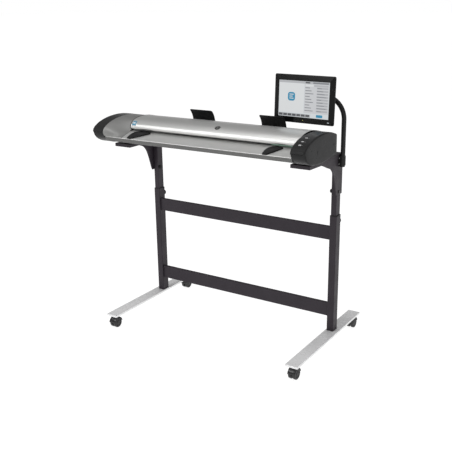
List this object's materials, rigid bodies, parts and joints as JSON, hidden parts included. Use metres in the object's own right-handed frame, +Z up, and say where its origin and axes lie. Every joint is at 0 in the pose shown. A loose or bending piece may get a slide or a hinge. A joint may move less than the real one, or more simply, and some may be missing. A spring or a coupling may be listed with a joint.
{
  "type": "large-format document scanner on a wheeled stand",
  "caption": "Sheet-feed scanner for large documents, on a height-adjustable caster stand, with paper guides, a hinged lid and a screen on a bent-tube arm.",
  "frame": {"origin": "middle of the footprint, at floor level", "axes": "+Z up, -Y towards the operator, +X to the operator's right"},
  "size_m": [1.327, 0.797, 1.503],
  "materials": {
    "foot_silver": "satin silver powder coat",
    "frame_paint": "fine-textured dark grey powder coat",
    "arm_black": "satin black",
    "black_plastic": "fine-grained",
    "cap_charcoal": "fine-grained",
    "button_grey": "smooth",
    "table_grey": "satin grey",
    "silver_lid": "satin silver",
    "background_white": "matte",
    "steel": "plain",
    "sheet_metal": "zinc-plated",
    "rubber": "matte",
    "glass": "clear, faintly green",
    "circuit_board": "solder mask",
    "gloss_black": "gloss",
    "monitor_case": "fine-grained",
    "screen": "lit display"
  },
  "bodies": {
    "stand_base": {"foot_left": "foot_silver", "foot_right": "foot_silver", "lower_post_left": "frame_paint", "lower_post_right": "frame_paint", "upper_crossbar": "frame_paint", "lower_crossbar": "frame_paint"},
    "caster_front_left": {"caster_front_left_housing": "black_plastic"},
    "caster_front_left_wheel_pair": {"caster_front_left_wheels": "rubber"},
    "caster_front_right": {"caster_front_right_housing": "black_plastic"},
    "caster_front_right_wheel_pair": {"caster_front_right_wheels": "rubber"},
    "caster_rear_left": {"caster_rear_left_housing": "black_plastic"},
    "caster_rear_left_wheel_pair": {"caster_rear_left_wheels": "rubber"},
    "caster_rear_right": {"caster_rear_right_housing": "black_plastic"},
    "caster_rear_right_wheel_pair": {"caster_rear_right_wheels": "rubber"},
    "lock_screw_left": {"height_lock_screw_left": "black_plastic"},
    "lock_screw_right": {"height_lock_screw_right": "black_plastic"},
    "lid": {"lid_cover": "silver_lid", "background_plate": "background_white"},
    "button_scan_key": {"button_scan": "button_grey"},
    "button_copy_key": {"button_copy": "button_grey"},
    "button_eject_key": {"button_eject": "button_grey"},
    "front_roller": {"front_feed_roller": "rubber"},
    "rear_roller": {"rear_feed_roller": "rubber"},
    "motor_shaft": {"motor_pulley": "steel"},
    "table_guide_left": {"paper_guide_left": "black_plastic"},
    "table_guide_right": {"paper_guide_right": "black_plastic"},
    "rear_guide_left": {"return_guide_left": "black_plastic"},
    "rear_guide_right": {"return_guide_right": "black_plastic"},
    "monitor_pan_joint": {"monitor_pan_knuckle": "black_plastic"},
    "monitor": {"monitor_tilt_bracket": "black_plastic", "monitor_rear_case": "monitor_case", "monitor_bezel": "gloss_black", "monitor_display": "screen"},
    "column": {"upper_post_left": "frame_paint", "support_bracket_left": "frame_paint", "bracket_bolt_left": "steel", "scanner_foot_left": "rubber", "end_cap_left": "cap_charcoal", "upper_post_right": "frame_paint", "support_bracket_right": "frame_paint", "bracket_bolt_right": "steel", "scanner_foot_right": "rubber", "end_cap_right": "cap_charcoal", "scanner_base": "table_grey", "power_inlet": "black_plastic", "data_port": "steel", "feed_table": "table_grey", "left_fairing": "table_grey", "rear_cover": "table_grey", "lid_hinge_rod": "steel", "scan_glass": "glass", "sensor_bar": "black_plastic", "main_board": "circuit_board", "power_supply": "sheet_metal", "drive_motor": "black_plastic", "drive_belt": "rubber", "monitor_arm_tube": "arm_black", "arm_clamp": "arm_black"}
  },
  "joints": [
    {"name": "caster_front_left_swivel", "type": "hinge", "parent": "stand_base", "child": "caster_front_left", "pos_m": [-0.5899, -0.3495, 0.03], "axis": [0, 0, 1], "continuous": true},
    {"name": "caster_front_left_spin", "type": "hinge", "parent": "caster_front_left", "child": "caster_front_left_wheel_pair", "pos_m": [-0.5899, -0.3635, 0.03], "axis": [1, 0, 0], "continuous": true},
    {"name": "caster_front_right_swivel", "type": "hinge", "parent": "stand_base", "child": "caster_front_right", "pos_m": [0.6189, -0.3495, 0.03], "axis": [0, 0, 1], "continuous": true},
    {"name": "caster_front_right_spin", "type": "hinge", "parent": "caster_front_right", "child": "caster_front_right_wheel_pair", "pos_m": [0.6189, -0.3635, 0.03], "axis": [1, 0, 0], "continuous": true},
    {"name": "caster_rear_left_swivel", "type": "hinge", "parent": "stand_base", "child": "caster_rear_left", "pos_m": [-0.5899, 0.3495, 0.03], "axis": [0, 0, 1], "continuous": true},
    {"name": "caster_rear_left_spin", "type": "hinge", "parent": "caster_rear_left", "child": "caster_rear_left_wheel_pair", "pos_m": [-0.5899, 0.3635, 0.03], "axis": [1, 0, 0], "continuous": true},
    {"name": "caster_rear_right_swivel", "type": "hinge", "parent": "stand_base", "child": "caster_rear_right", "pos_m": [0.6189, 0.3495, 0.03], "axis": [0, 0, 1], "continuous": true},
    {"name": "caster_rear_right_spin", "type": "hinge", "parent": "caster_rear_right", "child": "caster_rear_right_wheel_pair", "pos_m": [0.6189, 0.3635, 0.03], "axis": [1, 0, 0], "continuous": true},
    {"name": "lock_screw_left_turn", "type": "hinge", "parent": "stand_base", "child": "lock_screw_left", "pos_m": [-0.5821, 0.12875, 0.722], "axis": [0, 1, 0], "range_deg": [-360, 0]},
    {"name": "lock_screw_right_turn", "type": "hinge", "parent": "stand_base", "child": "lock_screw_right", "pos_m": [0.6111, 0.12875, 0.722], "axis": [0, 1, 0], "range_deg": [-360, 0]},
    {"name": "height_slide", "type": "slide", "parent": "stand_base", "child": "column", "axis": [0, 0, 1], "range_m": [-0.11, 0.15]},
    {"name": "lid_hinge", "type": "hinge", "parent": "column", "child": "lid", "pos_m": [0.0145, -0.0445, 1.226], "axis": [-1, 0, 0], "range_deg": [0, 40]},
    {"name": "button_scan_press", "type": "slide", "parent": "column", "child": "button_scan_key", "axis": [0, 0.4705, -0.8824], "range_m": [0, 0.0012], "stiffness_N_per_m": 300},
    {"name": "button_copy_press", "type": "slide", "parent": "column", "child": "button_copy_key", "axis": [0, 0.322, -0.9467], "range_m": [0, 0.0012], "stiffness_N_per_m": 300},
    {"name": "button_eject_press", "type": "slide", "parent": "column", "child": "button_eject_key", "axis": [0, 0.2128, -0.9771], "range_m": [0, 0.0012], "stiffness_N_per_m": 300},
    {"name": "front_roller_spin", "type": "hinge", "parent": "column", "child": "front_roller", "pos_m": [0.0145, -0.2205, 1.1795], "axis": [1, 0, 0], "continuous": true},
    {"name": "rear_roller_spin", "type": "hinge", "parent": "column", "child": "rear_roller", "pos_m": [0.0145, -0.0765, 1.1795], "axis": [1, 0, 0], "continuous": true},
    {"name": "motor_shaft_spin", "type": "hinge", "parent": "column", "child": "motor_shaft", "pos_m": [0.0145, -0.1485, 1.145], "axis": [1, 0, 0], "continuous": true},
    {"name": "paper_guide_left_slide", "type": "slide", "parent": "column", "child": "table_guide_left", "axis": [1, 0, 0], "range_m": [-0.02, 0.33]},
    {"name": "paper_guide_right_slide", "type": "slide", "parent": "column", "child": "table_guide_right", "axis": [1, 0, 0], "range_m": [-0.33, 0.06]},
    {"name": "return_guide_left_slide", "type": "slide", "parent": "column", "child": "rear_guide_left", "axis": [1, 0, 0], "range_m": [-0.1, 0.1]},
    {"name": "return_guide_right_slide", "type": "slide", "parent": "column", "child": "rear_guide_right", "axis": [1, 0, 0], "range_m": [-0.1, 0.1]},
    {"name": "monitor_pan", "type": "hinge", "parent": "column", "child": "monitor_pan_joint", "pos_m": [0.457, 0.0965, 1.394], "axis": [0, 0, 1], "range_deg": [-25, 3]},
    {"name": "monitor_tilt", "type": "hinge", "parent": "monitor_pan_joint", "child": "monitor", "pos_m": [0.45498, 0.06757, 1.394], "axis": [0.9976, -0.0698, 0], "range_deg": [-15, 5]}
  ],
  "couplings": [
    {"joint": "rear_roller_spin", "follows": "front_roller_spin", "ratio": 1},
    {"joint": "motor_shaft_spin", "follows": "front_roller_spin", "ratio": 1.5}
  ]
}
